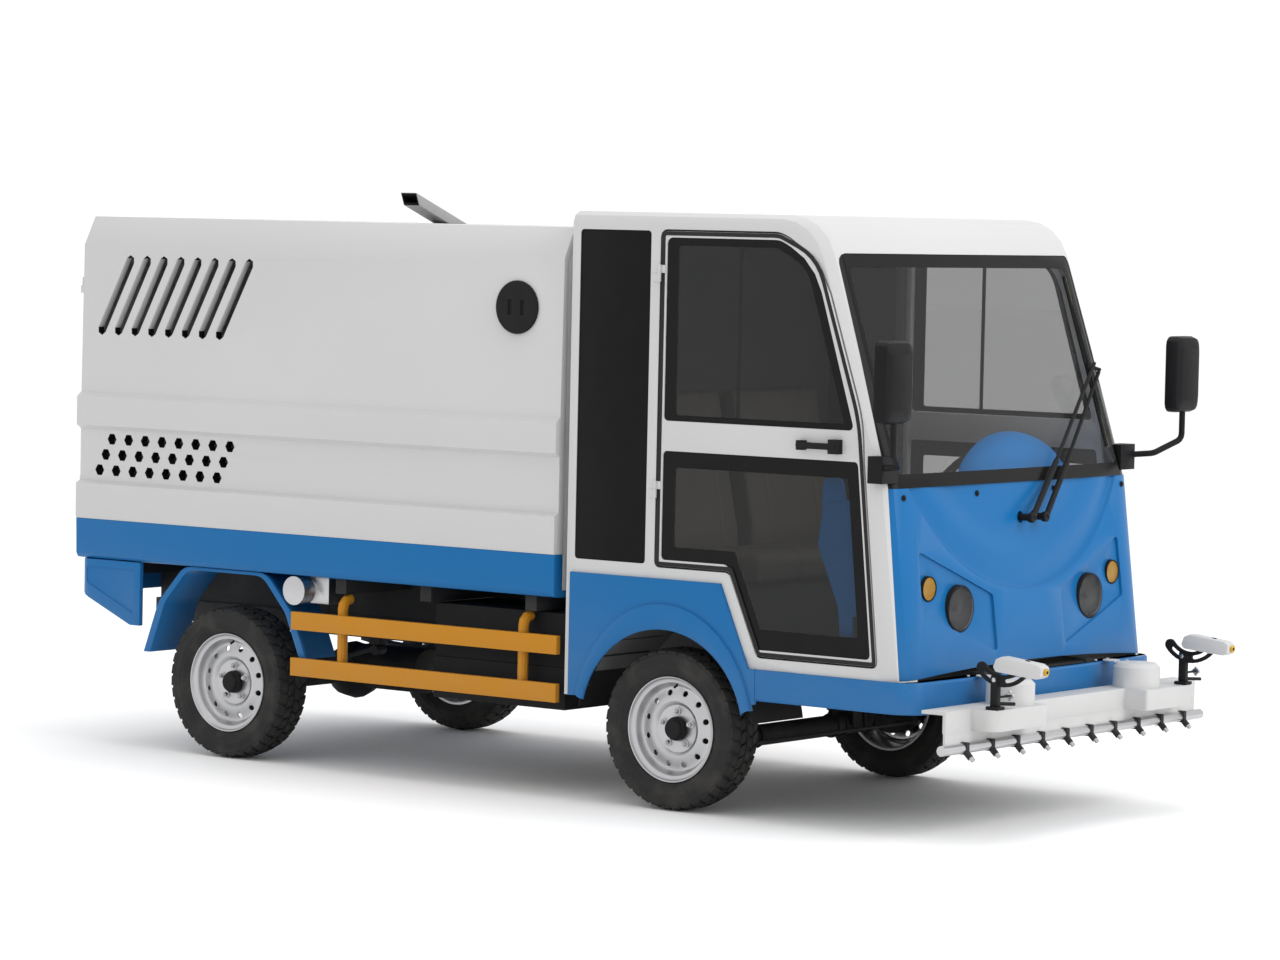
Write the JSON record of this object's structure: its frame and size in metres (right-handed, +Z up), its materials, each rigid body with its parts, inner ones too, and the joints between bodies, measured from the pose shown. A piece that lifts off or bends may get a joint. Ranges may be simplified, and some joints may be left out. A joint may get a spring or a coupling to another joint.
{
  "type": "high-pressure cleaning truck",
  "caption": "Small electric cleaning truck with a closed cab, a louvred load body and a spray bar under the front bumper.",
  "frame": {"origin": "on the ground, at the middle of the vehicle's length and width", "axes": "+X to the vehicle's left, +Y to its rear, +Z up; the front faces -Y"},
  "size_m": [1.998, 4.246, 2.105],
  "materials": {
    "white": "satin white paint",
    "blue": "satin blue paint",
    "orange": "satin orange-yellow paint",
    "black": "matt black plastic",
    "dark": "black chassis paint",
    "steel": "bright steel",
    "tank": "moulded plastic",
    "tyre": "matt rubber",
    "rim": "silver",
    "seat": "grained seat cover",
    "glass": "tinted",
    "lamp": "clear lens over a dark reflector"
  },
  "bodies": {
    "chassis": {"battery_pack": "dark", "box_floor": "blue", "box_roof": "white", "box_side_left": "white", "box_side_right": "white", "bumper": "blue", "cab_floor": "dark", "cab_shell": "white", "chassis_frame": "dark", "dashboard": "blue", "filler_chute": "steel", "front_axle": "dark", "front_panel": "blue", "lamp_left": "lamp", "lamp_right": "lamp", "mirror_left": "black", "mirror_right": "black", "port_cap": "black", "quarter_panel_left": "black", "quarter_panel_right": "black", "rear_apron": "blue", "rear_axle": "dark", "rear_mudguard_left": "blue", "rear_mudguard_right": "blue", "seat_back": "seat", "seat_cushion": "seat", "side_guard_left": "orange", "side_guard_right": "orange", "side_panel_left": "blue", "side_panel_right": "blue", "side_valve": "steel", "spray_bar": "white", "spray_head_left": "white", "spray_head_right": "white", "steering_wheel": "black", "water_tank": "tank", "windshield": "glass", "wiper": "black"},
    "knuckle_right": {"knuckle_right": "steel"},
    "knuckle_left": {"knuckle_left": "steel"},
    "tie_rod": {"tie_rod": "steel"},
    "door_right": {"door_right": "white", "upper_pane_right": "glass", "lower_pane_right": "glass", "door_handle_right": "black"},
    "door_left": {"door_left": "white", "upper_pane_left": "glass", "lower_pane_left": "glass", "door_handle_left": "black"},
    "rear_door_right": {"rear_door_right": "white"},
    "rear_door_left": {"rear_door_left": "white"},
    "wheel_front_left": {"tyre_front_left": "tyre", "rim_front_left": "rim"},
    "wheel_front_right": {"tyre_front_right": "tyre", "rim_front_right": "rim"},
    "wheel_rear_left": {"tyre_rear_left": "tyre", "rim_rear_left": "rim"},
    "wheel_rear_right": {"tyre_rear_right": "tyre", "rim_rear_right": "rim"}
  },
  "joints": [
    {"name": "steer_right", "type": "hinge", "parent": "chassis", "child": "knuckle_right", "pos_m": [-0.575, -0.688, 0.28], "axis": [0, 0, 1], "range_deg": [-30, 30]},
    {"name": "steer_left", "type": "hinge", "parent": "chassis", "child": "knuckle_left", "pos_m": [0.575, -0.688, 0.28], "axis": [0, 0, 1], "range_deg": [-30, 30]},
    {"name": "tie_rod_pivot", "type": "hinge", "parent": "knuckle_right", "child": "tie_rod", "pos_m": [-0.575, -0.818, 0.218], "axis": [0, 0, 1], "range_deg": [-30, 30]},
    {"name": "roll_front_right", "type": "hinge", "parent": "knuckle_right", "child": "wheel_front_right", "pos_m": [-0.665, -0.688, 0.28], "axis": [1, 0, 0], "continuous": true},
    {"name": "roll_rear_right", "type": "hinge", "parent": "chassis", "child": "wheel_rear_right", "pos_m": [-0.665, 1.362, 0.28], "axis": [1, 0, 0], "continuous": true},
    {"name": "roll_front_left", "type": "hinge", "parent": "knuckle_left", "child": "wheel_front_left", "pos_m": [0.665, -0.688, 0.28], "axis": [1, 0, 0], "continuous": true},
    {"name": "roll_rear_left", "type": "hinge", "parent": "chassis", "child": "wheel_rear_left", "pos_m": [0.665, 1.362, 0.28], "axis": [1, 0, 0], "continuous": true},
    {"name": "open_door_right", "type": "hinge", "parent": "chassis", "child": "door_right", "pos_m": [-0.773, -0.633, 1.2], "axis": [0, 0, -1], "range_deg": [0, 75]},
    {"name": "open_door_left", "type": "hinge", "parent": "chassis", "child": "door_left", "pos_m": [0.773, -0.633, 1.2], "axis": [0, 0, 1], "range_deg": [0, 75]},
    {"name": "open_rear_door_right", "type": "hinge", "parent": "chassis", "child": "rear_door_right", "pos_m": [-0.732, 2.113, 1.3], "axis": [0, 0, 1], "range_deg": [0, 100]},
    {"name": "open_rear_door_left", "type": "hinge", "parent": "chassis", "child": "rear_door_left", "pos_m": [0.732, 2.113, 1.3], "axis": [0, 0, -1], "range_deg": [0, 100]}
  ],
  "couplings": [
    {"joint": "steer_left", "follows": "steer_right", "ratio": 1},
    {"joint": "tie_rod_pivot", "follows": "steer_right", "ratio": -1}
  ]
}
